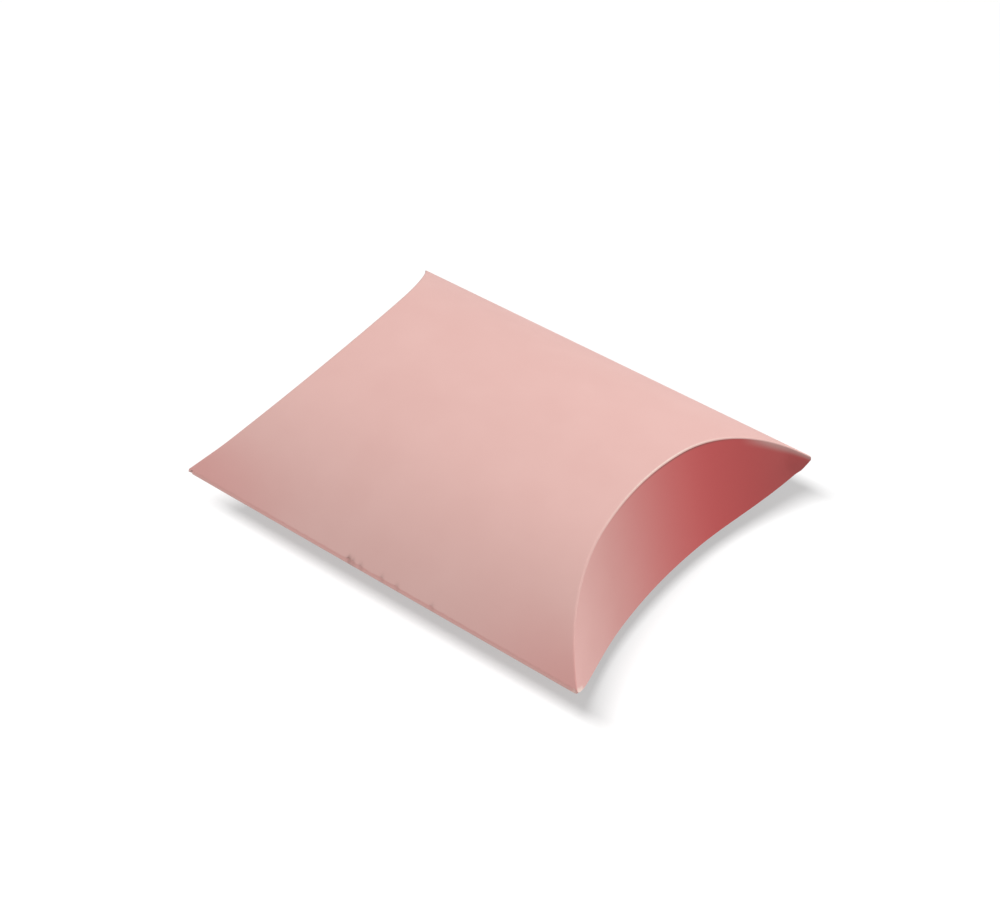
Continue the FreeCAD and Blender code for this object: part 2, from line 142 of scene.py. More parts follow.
# Nicks in the top panel's cut edge, by their place along the seam: how deep each is; the edge is frayed too
SEAM_NICKS = {-5.6 * MM: 0.3 * MM, -4.7 * MM: 0.16 * MM, -3.0 * MM: 0.14 * MM, 1.6 * MM: 0.14 * MM,
              4.9 * MM: 0.12 * MM, 12.3 * MM: 0.12 * MM}
NICK_WIDTH = 0.4 * MM
NICK_DARK = 2.4 / MM
NICK_DARK_POWER = 3
FOLD_NICK_DARK = 1.1 / MM
SEAM_FRAY = 0.2 * MM
SEAM_FRAY_LENGTH = 1.3 * MM
SEAM_FRAY_REACH = 1.2 * MM

# Corners bent a little away from the square box, as in the photograph: end, side, shift and reach
BENT_CORNERS = {
    "front_far": (1.0, 1.0, Vector((1.1, 0.0, 0.0)) * MM, 4.5 * MM),
    "rear_far": (-1.0, 1.0, Vector((-0.55, 0.0, 0.0)) * MM, 24 * MM),
    "rear_near": (-1.0, -1.0, Vector((-0.35, 0.0, 0.05)) * MM, 10 * MM),
}

# Widths of the marks in the surfaces. Paper fibres are about 0.03 mm wide, too fine to show, so the flocks
# and the fray are drawn coarser
MOTTLE_WIDTH = 9 * MM
FLOCK_WIDTH = 0.3 * MM
INSIDE_FLOCK_WIDTH = 0.4 * MM
CUT_FRAY_WIDTH = 0.25 * MM
GLUE_RIPPLE_WIDTH = 1.2 * MM

# Stage, in metres and degrees: the camera's angle and framing are those of the photograph
VIEW_AZIMUTH = 41.45
VIEW_ELEVATION = 44.71
VIEW_ROLL = -4.28
VIEW_DISTANCE = 0.399
VIEW_AIM = Vector((-0.00064, 0.00201, 0.01312))
LENS_MM = 83.12
SENSOR_MM = 36.0
NEAREST_SEEN = 0.01
FLOOR_SIDE = 0.6
FLOOR_DROP = 0.00005
# The floor as the camera sees it, the glow that keeps its shadow pale, and the floor that lights the card
FLOOR_PALE = "A0A0A0"
FLOOR_GLOW = 0.45
FLOOR_DIM = "818181"
WORLD_WHITE = "FFFFFF"
WORLD_FILL = 0.35
# Each lamp: what it lights, azimuth from +X, elevation, distance, width, height, watts
LAMPS = {
    "key_softbox": ("card", 67.0, 55.0, 0.7, 0.45, 0.45, 2.7),
    "side_softbox": ("card", 45.0, 25.0, 0.7, 0.35, 0.35, 1.75),
    "fill_softbox": ("card", 246.0, 25.0, 0.7, 0.35, 0.35, 1.78),
    "floor_softbox": ("floor", 275.0, 67.5, 2.5, 1.2, 0.45, 96.0),
}

Spot = namedtuple("Spot", "point normal wear tone score")


def linear(hex_colour):
    """Scene-linear RGB of an sRGB hex colour."""
    channels = [int(hex_colour[i:i + 2], 16) / 255 for i in (0, 2, 4)]
    return tuple(c / 12.92 if c <= 0.04045 else ((c + 0.055) / 1.055) ** 2.4 for c in channels)


def length(name, description, default):
    """A size that a user may change."""
    return FloatProperty(name=name, description=description, default=default, unit="LENGTH", precision=5)


def colour(name, description, hex_colour):
    """A colour that a user may change."""
    return FloatVectorProperty(name=name, description=description, default=linear(hex_colour),
                               subtype="COLOR", min=0.0, max=1.0)


class PillowBoxSizes(bpy.types.PropertyGroup):
    """Sizes of the folded card."""

    box_length: length("Box length", "From corner tip to corner tip along the side folds", BOX_LENGTH)
    box_width: length("Box width", "Between the two side folds", 65.4 * MM)
    box_height: length("Box height", "From the belly to the crown of the top panel", CREASE_CROWN.z)
    crease_depth: length("Crease depth", "How far a crease's crown lies behind its corner tips",
                         BOX_LENGTH / 2 - CREASE_CROWN.x)
    card_thickness: length("Card thickness", "Thickness of the folding card", 0.42 * MM)
    crown_width: length("Crown width", "Width of the top panel's flatter middle", 21.6 * MM)
    crown_radius: length("Crown radius", "Radius of the top panel's flatter middle", 68.2 * MM)
    belly_width: length("Belly width", "Width of the flat strip that bears on the table", 8 * MM)
    top_edge_inset: length("Top edge inset", "Top panel's edge inside the fold's corner", 0.34 * MM)
    top_edge_height: length("Top edge height", "Top panel's edge above the corner plane", 0.4 * MM)
    bottom_edge_inset: length("Bottom edge inset", "Bottom panel's edge inside the fold's corner", 0.76 * MM)
    bottom_edge_height: length("Bottom edge depth", "Bottom panel's edge below the corner plane", 0.9 * MM)
    fold_radius: length("Fold radius", "Outside radius of the side folds", 0.5 * MM)
    fold_end_relief: length("Fold end relief", "Side folds end this far short of the corner tips", 0.75 * MM)
    crease_radius: length("Crease radius", "Outside radius of the curved creases", 0.45 * MM)
    seam_lip: length("Seam lip", "The top panel's cut edge stops this far short of the seam's fold", 0.1 * MM)
    tab_width: length("Tab width", "Width of the glued tab inside the seam", 10 * MM)
    tab_base_height: length("Tab base height", "Where the tab leaves the seam's fold", 0.5 * MM)
    tab_end_relief: length("Tab end relief", "The tab ends this far short of the creases", 3.3 * MM)
    glue_thickness: length("Glue thickness", "Thickness of the dried glue", 0.08 * MM)
    bond_gap: length("Bond gap", "Room between the glue and each card face", 0.01 * MM)
    glue_margin: length("Glue margin", "The glue stays this far inside the tab", 1.2 * MM)
    outer_lean: FloatProperty(name="Outer flap lean", description="Outer flaps lean outwards going down",
                              default=math.radians(9.5), subtype="ANGLE")
    outer_reach: length("Outer flap reach", "Outer flaps end this far below the corner plane", 8.65 * MM)
    outer_edge_half: length("Outer edge half", "Where an outer free edge comes up to the corner plane",
                            32.1 * MM)
    deep_edge_half: length("Deep edge half", "The same at the front's far corner, which hangs lower", 34 * MM)
    outer_tip_inset: length("Outer flap tip inset", "Outer flaps stop this far inside the corner tips",
                            0.5 * MM)
    deep_tip_inset: length("Deep tip inset", "The same at the front's far corner", 0.4 * MM)
    inner_lean: FloatProperty(name="Inner flap lean", description="Inner flaps lean inwards going up",
                              default=math.radians(-6.2), subtype="ANGLE")
    inner_reach: length("Inner flap reach", "Inner flaps end this far above the corner plane", 3.4 * MM)
    inner_end_inset: length("Inner flap end inset", "Inner flaps end this far inside the corners", 4 * MM)
    inner_end_height: length("Inner flap end height", "Where an inner flap's free edge meets its end",
                             1.6 * MM)
    inner_edge_width: length("Inner edge width", "Width of the flatter middle of an inner free edge", 40 * MM)
    inner_edge_radius: length("Inner edge radius", "Radius of the flatter middle of an inner free edge",
                              143 * MM)
    flap_bend: length("Flap bend", "Depth behind the crease over which an opening flap bends", 8 * MM)


class PillowBoxColours(bpy.types.PropertyGroup):
    """Colours of the card, its cut edges and the glue."""

    dye: colour("Card", "Dyed card in plain light", "E6BBB4")
    dye_dark: colour("Card mottle", "Where the fibres took more dye", "E0B2AB")
    # The deep red of the painted shade on the flaps, the panels' seam corners and the folds
    painted_shade_colour: colour("Flap", "The deeper side of the end flaps", "D65E5D")
    # Colour of the painted shade line under the creases, and of the darkening at the seam's nicks
    score: colour("Score", "Dye pressed dark along a scored crease", "7A5048")
    inside: colour("Inside", "Inner face of the card", "E3BDB6")
    # Bare card colour: worn corners, and also the painted highlight along the creases' crowns
    fibre: colour("Bare fibre", "Cracked creases and worn corners", "F6E0D3")
    cut: colour("Cut edge", "Where the card was sheared", "D69A93")
    glue: colour("Glue", "Dried dispersion glue", "E8DFC8")


class Bow:
    """Height of a bowed outline above the corner plane: a crown, arched or flat, and an arc to each edge."""

    def __init__(self, edge_half, edge_height, top, crown_half, crown_radius=0.0, corner_half=None):
        self.edge_half = edge_half
        self.edge_height = edge_height
        self.top = top
        self.crown_half = crown_half
        self.crown_radius = crown_radius
        self.corner_half = corner_half or edge_half
        tilt = math.asin(crown_half / crown_radius) if crown_radius else 0.0
        up = Vector((math.sin(tilt), math.cos(tilt)))
        join = Vector((crown_half, top - crown_radius * (1 - math.cos(tilt))))
        span = Vector((edge_half, edge_height)) - join
        self.radius = -span.length_squared / (2 * span.dot(up))
        self.centre = join - up * self.radius

    def height(self, y):
        """Height at a distance y from the middle."""
        y = abs(y)
        if y > self.edge_half:
            return self.edge_height * (self.corner_half - y) / (self.corner_half - self.edge_half)
        if y > self.crown_half:
            return self.centre.y + math.sqrt(self.radius ** 2 - (y - self.centre.x) ** 2)
        if self.crown_radius:
            return self.top - self.crown_radius + math.sqrt(self.crown_radius ** 2 - y ** 2)
        return self.top

    def slope(self, y):
        """Rise per unit of y."""
        side = -1.0 if y > 0 else 1.0
        y = abs(y)
        if y > self.edge_half:
            return side * self.edge_height / (self.corner_half - self.edge_half)
        if y > self.crown_half:
            return side * (y - self.centre.x) / (self.height(y) - self.centre.y)
        if self.crown_radius:
            return side * y / math.sqrt(self.crown_radius ** 2 - y ** 2)
        return 0.0


class FoldedCard:
    """The box's shape, worked out from its sizes. Heights are from the plane of the four corner tips."""

    def __init__(self, sizes):
        self.sizes = sizes
        self.half_length = sizes.box_length / 2
        self.half_width = sizes.box_width / 2
        self.rise = sizes.box_height / 2
        self.rake = sizes.crease_depth / self.rise
        self.top = Bow(self.half_width - sizes.top_edge_inset, sizes.top_edge_height, self.rise,
                       sizes.crown_width / 2, sizes.crown_radius, self.half_width)
        self.bottom = Bow(self.half_width - sizes.bottom_edge_inset, sizes.bottom_edge_height, self.rise,
                          sizes.belly_width / 2, 0.0, self.half_width)
        self.inner_edge = Bow(self.half_width - sizes.inner_end_inset, -sizes.inner_end_height,
                              sizes.inner_reach, sizes.inner_edge_width / 2, sizes.inner_edge_radius)

    def crease(self, height):
        """Distance from the middle to the crease at a height."""
        return self.half_length - self.rake * height

    def free_edge(self, y, deep):
        """Height of an outer flap's free edge; a deep corner hangs lower than the others."""
        half = self.sizes.deep_edge_half if deep else self.sizes.outer_edge_half
        power = DEEP_EDGE_POWER if deep else EDGE_POWER
        height = self.sizes.outer_reach * ((abs(y) / half) ** power - 1)
        if deep:
            height *= 1 - DEEP_TIP_RISE * smooth(y, DEEP_TIP_START, self.half_width)
        return height

    def spot(self, point, normal, wear=0.0, tone=0.0, under=False, rear=False, score=0.0):
        """A spot in the row frame, turned over for the bottom panel or round to the rear end."""
        end = -1.0 if rear else 1.0
        face = -1.0 if under else 1.0
        place = Vector((point[0] * end, point[1] * end, point[2] * face + self.rise))
        facing = Vector((normal[0] * end, normal[1] * end, normal[2] * face)).normalized()
        for bent_end, bent_side, shift, reach in BENT_CORNERS.values():
            corner = Vector((bent_end * self.half_length, bent_side * self.half_width, self.rise))
            place += shift * smooth(-(place - corner).length, -reach, 0.0)
        return Spot(place, facing, wear, tone, score)

    def crease_turn(self, bow, y, lean):
        """Points and normals round the crease, from the panel to the flap."""
        radius = self.sizes.crease_radius
        turn = math.pi / 2 - lean
        height = bow.height(y)
        slope = bow.slope(y)
        flat_end = self.crease(height) - radius * math.tan(turn / 2)
        turns = []
        for share in spread(0.0, 1.0, CREASE_STEPS):
            angle = turn * share
            sine, cosine = math.sin(angle), math.cos(angle)
            point = (flat_end + radius * sine, y, height - radius + radius * cosine)
            normal = (sine, -slope * (cosine - self.rake * sine), cosine)
            turns.append((point, normal, share))
        return turns


def spread(start, end, count):
    """Evenly spaced values from start to end."""
    return [start + (end - start) * i / (count - 1) for i in range(count)]


def spread_to_ends(start, end, count):
    """Values from start to end that crowd towards both ends."""
    middle, half = (start + end) / 2, (end - start) / 2
    return [middle + half * math.sin(math.pi / 2 * share) for share in spread(-1.0, 1.0, count)]


def smooth(value, start, end):
    """Smooth step from 0 at start to 1 at end."""
    share = min(max((value - start) / (end - start), 0.0), 1.0)
    return share * share * (3 - 2 * share)


def panel_row(card, bow, y, lean, under):
    """Spots across one panel, from the rear crease to the front one, at a distance y from the middle."""
    turns = card.crease_turn(bow, y, lean)
    flat_end = turns[0][0][0]
    # Paler round the crease near its crown: partly cracked card, partly painted highlight
    crown = smooth(-abs(y - CREASE_WEAR_AND_HIGHLIGHT_PLACE), -CREASE_WEAR_AND_HIGHLIGHT_REACH, 0.0)
    ends = [(p, n, CREASE_WEAR_AND_HIGHLIGHT * crown * math.sin(math.pi * share) ** CREASE_WEAR_AND_HIGHLIGHT_POWER)
            for p, n, share in turns[1:]]
    normal = turns[0][1]
    height = bow.height(y)
    flat = [((x, y, height), normal, 0.0) for x in spread(-flat_end, flat_end, PANEL_COLUMNS)]
    rear = [((-p[0], p[1], p[2]), (-n[0], n[1], n[2]), w) for p, n, w in reversed(ends)]
    # Painted shade, darker towards the ends of the seam side
    side = smooth(-y, card.half_width - CORNER_SHADE_WIDTH, card.half_width)
    row = []
    for point, facing, wear in rear + flat + ends:
        corner = smooth(abs(point[0]), card.half_length - CORNER_SHADE_LENGTH, card.half_length)
        row.append(card.spot(point, facing, wear, CORNER_SHADE * side * corner, under))
    return row


def nick_depth(x):
    """How deep the seam is nicked at a place along it."""
    return sum(cut * math.exp(-((x - place) / NICK_WIDTH) ** 2) for place, cut in SEAM_NICKS.items())


def frayed(row, depth):
    """The spots of a row near a cut edge, worn back a little along the card, more at its nicks."""
    near = max(1 - depth / SEAM_FRAY_REACH, 0.0)
    worn = []
    for spot in row:
        inward = Vector((0.0, spot.normal.z, -spot.normal.y))
        fray = SEAM_FRAY * (0.5 + 0.5 * noise.noise((spot.point.x / SEAM_FRAY_LENGTH, 0.0, 0.0)))
        nick = nick_depth(spot.point.x)
        worn.append(spot._replace(point=spot.point + inward * (fray + nick) * near,
                                  score=NICK_DARK * nick * near ** NICK_DARK_POWER))
    return worn


def flap_painted_shade(card, y):
    """How much painted shade an outer flap has at a distance y from the middle."""
    deepening = smooth(y, FLAP_SHADE_START, FLAP_SHADE_END)
    drop = FLAP_SHADE_DROP * smooth(y, FLAP_SHADE_DROP_START, card.half_width)
    return FLAP_SHADE_LEAST + (1 - FLAP_SHADE_LEAST) * deepening - drop


def flap_row(card, bow, y, lean, edge_height, tone, under, rear):
    """Spots down one flap, from its crease to its free edge, at a distance y from the middle."""
    point, normal, _ = card.crease_turn(bow, y, lean)[-1]
    run = max((point[2] - edge_height) / math.cos(lean), LEAST_FLAP)
    bare = 0.0 if under or rear else CORNER_WEAR * smooth(-y, CORNER_WEAR_START, CORNER_WEAR_END)
    # A dark line of painted shade just under the crease
    darkened = CREASE_SHADE_LINE * smooth(-abs(y - CREASE_SHADE_LINE_PLACE), -CREASE_SHADE_LINE_REACH, 0.0)
    darkened *= smooth(y, CREASE_SHADE_LINE_END, CREASE_SHADE_LINE_PLACE)
    # Near the far corner the painted shade lifts just under the crease: a painted lighter band
    soft = CREASE_LIT_BAND * smooth(y, CREASE_LIT_BAND_START, CREASE_LIT_BAND_END)
    lit_band_depth = CREASE_LIT_BAND_DEPTH * (1 - CREASE_LIT_BAND_TAPER * smooth(y, CREASE_LIT_BAND_END, card.half_width))
    top = spread(0.0, min(CREASE_SHADE_LINE_DEPTH, run / 2), SCORE_STEPS)
    row = []
    for step in top[:-1] + spread(top[-1], run, FLAP_COLUMNS):
        place = (point[0] + step * math.sin(lean), y, point[2] - step * math.cos(lean))
        wear = bare * smooth(step, run - CORNER_WEAR_DEPTH, run - CORNER_BARE_DEPTH)
        score = darkened * smooth(step, CREASE_SHADE_LINE_DEPTH, 0.0)
        shade = tone * (1 - soft * smooth(step, lit_band_depth, 0.0))
        row.append(card.spot(place, normal, wear, shade, under, rear, score))
    return row


def card_sheet(name, grid, thickness, raw_sides, materials):
    """A closed sheet of card from a grid of spots on its outer face. Raw sides get a rounded cut edge."""
    bulge = thickness * RIM_BULGE_SHARE
    bm = bmesh.new()
    wear = bm.verts.layers.float.new("wear")
    tone = bm.verts.layers.float.new("tone")
    score = bm.verts.layers.float.new("score")

    def vertex(spot, place):
        made = bm.verts.new(place)
        made[wear] = spot.wear
        made[tone] = spot.tone
        made[score] = spot.score
        return made

    last_row, last_column = len(grid) - 1, len(grid[0]) - 1
    face = [[vertex(s, s.point) for s in row] for row in grid]
    back = [[vertex(s, s.point - s.normal * thickness) for s in row] for row in grid]
    for side, material in ((face, 0), (back, 1)):
        for i in range(last_row):
            for j in range(last_column):
                quad = (side[i][j], side[i][j + 1], side[i + 1][j + 1], side[i + 1][j])
                bm.faces.new(quad).material_index = material
    sides = {
        "first_row": [(0, j) for j in range(last_column + 1)],
        "last_column": [(i, last_column) for i in range(last_row + 1)],
        "last_row": [(last_row, j) for j in range(last_column, -1, -1)],
        "first_column": [(i, 0) for i in range(last_row, -1, -1)],
    }
    inward = {"first_row": (1, 0), "last_column": (0, -1), "last_row": (-1, 0), "first_column": (0, 1)}
    rims = {}
    for side, places in sides.items():
        for i, j in places:
            outward = Vector((0.0, 0.0, 0.0))
            for other in raw_sides:
                if (i, j) in sides[other]:
                    di, dj = inward[other]
                    outward += (grid[i][j].point - grid[i + di][j + dj].point).normalized()
            if (i, j) not in rims:
                spot = grid[i][j]
                mids = [vertex(spot, spot.point - spot.normal * thickness * share
                               + outward * bulge * math.sin(math.pi * share)) for share in RIM_SHARES]
                rims[(i, j)] = [face[i][j], *mids, back[i][j]]
        for here, following in zip(places, places[1:]):
            near, far = rims[here], rims[following]
            for k in range(len(near) - 1):
                made = bm.faces.new((near[k], near[k + 1], far[k + 1], far[k]))
                made.material_index = 2 if side in raw_sides else 1
    bmesh.ops.recalc_face_normals(bm, faces=bm.faces)
    for made in bm.faces:
        made.smooth = True
    mesh = bpy.data.meshes.new(name)
    bm.to_mesh(mesh)
    bm.free()
    mesh.set_sharp_from_angle(angle=SHARP_ANGLE)
    for material in materials:
        mesh.materials.append(material)
    piece = bpy.data.objects.new(name, mesh)
    bpy.context.scene.collection.objects.link(piece)
    return piece


def add_node(tree, kind, settings=None, inputs=None):
    """A node with its settings, and its inputs set to values or linked to other nodes' outputs."""
    node = tree.nodes.new(kind)
    for name, value in (settings or {}).items():
        setattr(node, name, value)
    for name, value in (inputs or {}).items():
        if isinstance(value, bpy.types.NodeSocket):
            tree.links.new(value, node.inputs[name])
        else:
            node.inputs[name].default_value = value
    return node


def new_material(name):
    """An empty node material and its tree."""
    material = bpy.data.materials.new(name)
    material.use_nodes = True
    material.node_tree.nodes.clear()
    return material, material.node_tree


def rgba(values):
    """A linear colour as four numbers, for a socket."""
    return (*values, 1.0)


def marked_colour(tree, colours, base, grain):
    """A card colour with painted shade in a deeper red, paler bare card that is partly worn and partly a
    painted highlight on the creases, and darkening for the painted shade line under the creases and at the
    seam's nicks, where the mesh is marked with them.
    """
    # Painted shade: mixes towards the deep red
    tone = add_node(tree, "ShaderNodeAttribute", {"attribute_name": "tone"})
    shaded = add_node(tree, "ShaderNodeMix", {"data_type": "RGBA"},
                     {0: tone.outputs["Fac"], 6: base, 7: rgba(colours.painted_shade_colour)})
    wear = add_node(tree, "ShaderNodeAttribute", {"attribute_name": "wear"})
    crack_and_highlight = add_node(tree, "ShaderNodeMath", {"operation": "MULTIPLY"}, {0: wear.outputs["Fac"], 1: grain})
    worn = add_node(tree, "ShaderNodeMix", {"data_type": "RGBA"},
                    {0: crack_and_highlight.outputs[0], 6: shaded.outputs[2], 7: rgba(colours.fibre)})
    score = add_node(tree, "ShaderNodeAttribute", {"attribute_name": "score"})
    darkened = add_node(tree, "ShaderNodeMix", {"data_type": "RGBA"},
                      {0: score.outputs["Fac"], 6: worn.outputs[2], 7: rgba(colours.score)})
    return darkened.outputs[2]


def dyed_card(name, colours):
    """Dyed uncoated folding card, calendered smooth: a soft matt pink, mottled by uneven dye take-up."""
    material, tree = new_material(name)
    place = add_node(tree, "ShaderNodeTexCoord").outputs["Object"]
    mottle = add_node(tree, "ShaderNodeTexNoise", None,
                      {"Vector": place, "Scale": 1 / MOTTLE_WIDTH, "Detail": 3.0})
    flock = add_node(tree, "ShaderNodeTexNoise", None,
                     {"Vector": place, "Scale": 1 / FLOCK_WIDTH, "Detail": 4.0})
    base = add_node(tree, "ShaderNodeMix", {"data_type": "RGBA"},
                    {0: mottle.outputs["Fac"], 6: rgba(colours.dye), 7: rgba(colours.dye_dark)})
    marked = marked_colour(tree, colours, base.outputs[2], flock.outputs["Fac"])
    bump = add_node(tree, "ShaderNodeBump", None,
                    {"Strength": 0.12, "Distance": 0.03 * MM, "Height": flock.outputs["Fac"]})
    rough = add_node(tree, "ShaderNodeMapRange", None,
                     {"Value": flock.outputs["Fac"], "To Min": 0.62, "To Max": 0.78})
    shader = add_node(tree, "ShaderNodeBsdfPrincipled", None,
                      {"Base Color": marked, "Roughness": rough.outputs[0], "IOR": 1.5,
                       "Specular IOR Level": 0.3, "Sheen Weight": 0.1, "Normal": bump.outputs[0]})
    add_node(tree, "ShaderNodeOutputMaterial", None, {"Surface": shader.outputs[0]})
    return material


def inside_card(name, colours):
    """The card's inner face, not calendered: the same pink, a little paler and rougher."""
    material, tree = new_material(name)
    place = add_node(tree, "ShaderNodeTexCoord").outputs["Object"]
    flock = add_node(tree, "ShaderNodeTexNoise", None,
                     {"Vector": place, "Scale": 1 / INSIDE_FLOCK_WIDTH, "Detail": 4.0})
    base = add_node(tree, "ShaderNodeMix", {"data_type": "RGBA"},
                    {0: flock.outputs["Fac"], 6: rgba(colours.inside), 7: rgba(colours.dye)})
    bump = add_node(tree, "ShaderNodeBump", None,
                    {"Strength": 0.2, "Distance": 0.04 * MM, "Height": flock.outputs["Fac"]})
    shader = add_node(tree, "ShaderNodeBsdfPrincipled", None,
                      {"Base Color": base.outputs[2], "Roughness": 0.85, "IOR": 1.5,
                       "Specular IOR Level": 0.2, "Normal": bump.outputs[0]})
    add_node(tree, "ShaderNodeOutputMaterial", None, {"Surface": shader.outputs[0]})
    return material


def cut_card(name, colours):
    """Cut edge of the card, dyed through and sheared by a die: open fibre, a little deeper than the face."""
    material, tree = new_material(name)
    place = add_node(tree, "ShaderNodeTexCoord").outputs["Object"]
    fray = add_node(tree, "ShaderNodeTexNoise", None,
                    {"Vector": place, "Scale": 1 / CUT_FRAY_WIDTH, "Detail": 5.0})
    base = add_node(tree, "ShaderNodeMix", {"data_type": "RGBA"},
                    {0: fray.outputs["Fac"], 6: rgba(colours.dye), 7: rgba(colours.cut)})
    marked = marked_colour(tree, colours, base.outputs[2], fray.outputs["Fac"])
    bump = add_node(tree, "ShaderNodeBump", None,
                    {"Strength": 0.5, "Distance": 0.06 * MM, "Height": fray.outputs["Fac"]})
    shader = add_node(tree, "ShaderNodeBsdfPrincipled", None,
                      {"Base Color": marked, "Roughness": 0.9, "IOR": 1.5,
                       "Specular IOR Level": 0.2, "Normal": bump.outputs[0]})
    add_node(tree, "ShaderNodeOutputMaterial", None, {"Surface": shader.outputs[0]})
    return material


def dried_glue(name, colours):
    """Dispersion glue, rolled on and dried: cream, slightly glossy, with roller ripples."""
    material, tree = new_material(name)
    place = add_node(tree, "ShaderNodeTexCoord").outputs["Object"]
    ripple = add_node(tree, "ShaderNodeTexNoise", None,
                      {"Vector": place, "Scale": 1 / GLUE_RIPPLE_WIDTH, "Detail": 2.0})
    bump = add_node(tree, "ShaderNodeBump", None,
                    {"Strength": 0.3, "Distance": 0.05 * MM, "Height": ripple.outputs["Fac"]})
    rough = add_node(tree, "ShaderNodeMapRange", None,
                     {"Value": ripple.outputs["Fac"], "To Min": 0.3, "To Max": 0.5})
    shader = add_node(tree, "ShaderNodeBsdfPrincipled", None,
                      {"Base Color": rgba(colours.glue), "Roughness": rough.outputs[0], "IOR": 1.48,
                       "Normal": bump.outputs[0]})
    add_node(tree, "ShaderNodeOutputMaterial", None, {"Surface": shader.outputs[0]})
    return material


CARD_FINISHES = {
    "dyed_folding_card": dyed_card,
    "folding_card_inside": inside_card,
    "die_cut_card_edge": cut_card,
}


def card_faces(context):
    """Outer face, inner face and cut edge of the card, in the order that a sheet's faces use."""
    colours = context.scene.pillow_box_colours
    return [bpy.data.materials.get(name) or make(name, colours) for name, make in CARD_FINISHES.items()]


def carried(piece, body, node):
    """Ties a piece to the body that carries it, and hides the node that it stands for."""
    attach(piece, body)
    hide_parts(node)


class PILLOWBOX_OT_panels(bpy.types.Operator):
    """Bowed top and bottom panels, each turned over at its curved creases"""

    bl_idname = "pillow_box.panels"
    bl_label = "Top and bottom panels"

    def execute(self, context):
        sizes = context.scene.pillow_box_sizes
        card = FoldedCard(sizes)
        seam_edge = -(card.top.edge_half - sizes.seam_lip)
        rows = [frayed(panel_row(card, card.top, y, sizes.outer_lean, False), y - seam_edge)
                for y in spread_to_ends(seam_edge, card.top.edge_half, PANEL_ROWS)]
        top = card_sheet("top_panel_card", rows, sizes.card_thickness, ["first_row"], card_faces(context))
        carried(top, "sleeve", "top_panel")
        rows = [panel_row(card, card.bottom, y, sizes.inner_lean, True)
                for y in spread_to_ends(-card.bottom.edge_half, card.bottom.edge_half, PANEL_ROWS)]
        bottom = card_sheet("bottom_panel_card", rows, sizes.card_thickness, [], card_faces(context))
        carried(bottom, "sleeve", "bottom_panel")
        return {"FINISHED"}


def corner_turn(start, corner, end, radius):
    """Points and outward normals along two straight legs and the arc that rounds their corner."""
    start, corner, end = Vector(start), Vector(corner), Vector(end)
    first, second = (start - corner).normalized(), (end - corner).normalized()
    half = first.angle(second) / 2
    setback = radius / math.tan(half)
    inward = (first + second).normalized()
    centre = corner + inward * radius / math.sin(half)
    outward = [(corner + leg * setback - centre).normalized() for leg in (first, second)]
    swing = outward[0].angle_signed(outward[1])
    path = [(start, outward[0])]
    for angle in spread(0.0, -swing, FOLD_STEPS):
        facing = Matrix.Rotation(angle, 2) @ outward[0]
        path.append((centre + facing * radius, facing))
    path.append((end, outward[1]))
    return path


def fold_rows(card, path, scuffed):
    """Grid of spots for a fold along the box. A scuffed fold is worn at its front end and at its nicks."""
    rows = []
    for place, facing in path:
        end = card.crease(abs(place.y)) - card.sizes.fold_end_relief
        row = []
        for x in spread(-end, end, PANEL_COLUMNS):
            wear = CORNER_WEAR * smooth(x, end - FOLD_END_WEAR, end) if scuffed else 0.0
            score = FOLD_NICK_DARK * nick_depth(x) if scuffed else 0.0
            # The folds carry painted shade all along
            row.append(card.spot((x, place.x, place.y), (0.0, facing.x, facing.y), wear, FOLD_SHADE,
                                 score=score))
        rows.append(row)
    return rows


def tab_face(card, y, depth):
    """Point and normal at a depth under the top panel's outer face, across the box."""
    slope = card.top.slope(y)
    facing = Vector((-slope, 1.0)).normalized()
    return Vector((y, card.top.height(y))) - facing * depth, facing


def tab_depth(sizes):
    """Depth of the glued tab's face under the top panel's outer face."""
    return sizes.card_thickness + sizes.glue_thickness + 2 * sizes.bond_gap


def seam_corner(card):
    """The seam fold's legs and corner: from the tab's base round to the bottom panel's edge."""
    sizes = card.sizes
    base, facing = tab_face(card, -card.top.edge_half + sizes.tab_base_height / 2, tab_depth(sizes))
    down = Vector((-facing.y, facing.x))
    edge = Vector((-card.bottom.edge_half, -card.bottom.edge_height))
    leg = Vector((-card.half_width, 0.0)) - edge
    gap = edge - base
    along = (gap.x * leg.y - gap.y * leg.x) / (down.x * leg.y - down.y * leg.x)
    return base, base + down * along, edge


class PILLOWBOX_OT_folds(bpy.types.Operator):
    """Scored folds along the two long sides"""

    bl_idname = "pillow_box.folds"
    bl_label = "Side folds"

    def execute(self, context):
        sizes = context.scene.pillow_box_sizes
        card = FoldedCard(sizes)
        path = corner_turn((card.top.edge_half, card.top.edge_height), (card.half_width, 0.0),
                           (card.bottom.edge_half, -card.bottom.edge_height), sizes.fold_radius)
        fold = card_sheet("side_fold_card", fold_rows(card, path, False), sizes.card_thickness,
                          ["first_column", "last_column"], card_faces(context))
        carried(fold, "sleeve", "side_fold")
        path = corner_turn(*seam_corner(card), sizes.fold_radius)
        fold = card_sheet("seam_fold_card", fold_rows(card, path, True), sizes.card_thickness,
                          ["first_column", "last_column"], card_faces(context))
        carried(fold, "sleeve", "seam_fold")
        return {"FINISHED"}


